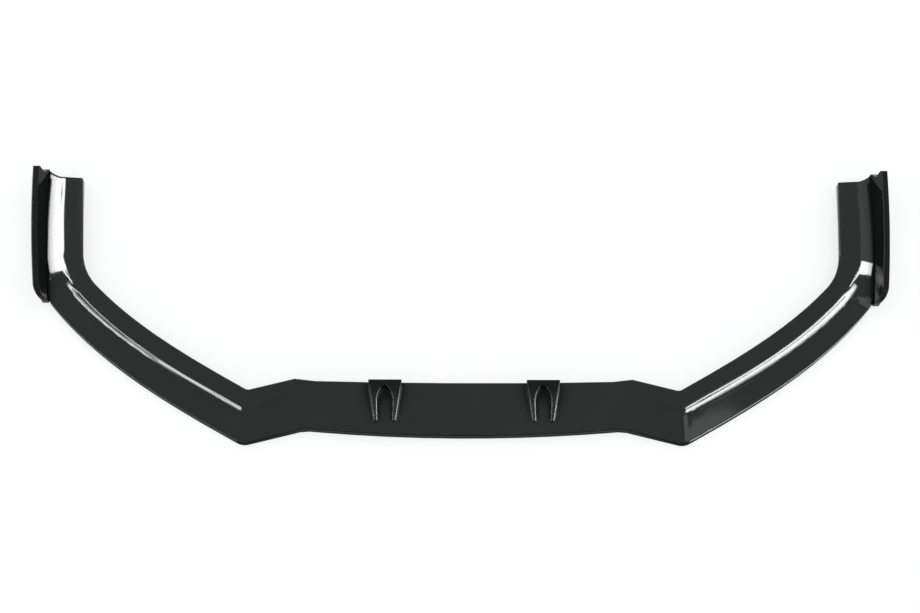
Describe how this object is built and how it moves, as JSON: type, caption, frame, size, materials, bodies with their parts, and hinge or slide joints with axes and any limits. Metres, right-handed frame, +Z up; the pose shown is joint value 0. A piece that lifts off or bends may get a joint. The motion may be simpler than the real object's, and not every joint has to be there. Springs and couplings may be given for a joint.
{
  "type": "front splitter lip",
  "caption": "Gloss black front splitter lip for a car bumper, with swept wings, a bonding flange, upright end plates and two bracket bosses.",
  "frame": {"origin": "middle of the lip's bounding box in plan, on the plane that its lower edge stands on", "axes": "+X across the car to the viewer's right, +Y from the front edge to the rear ends, +Z up"},
  "size_m": [1.8314, 0.614, 0.0599],
  "materials": {
    "lip_gloss": "gloss black moulded plastic",
    "plate_gloss": "gloss black moulded plastic",
    "screw_black": "black coated steel"
  },
  "bodies": {
    "root": {"lip_body": "lip_gloss", "left_end_plate": "plate_gloss", "right_end_plate": "plate_gloss", "end_plate_screws": "screw_black"}
  },
  "joints": []
}
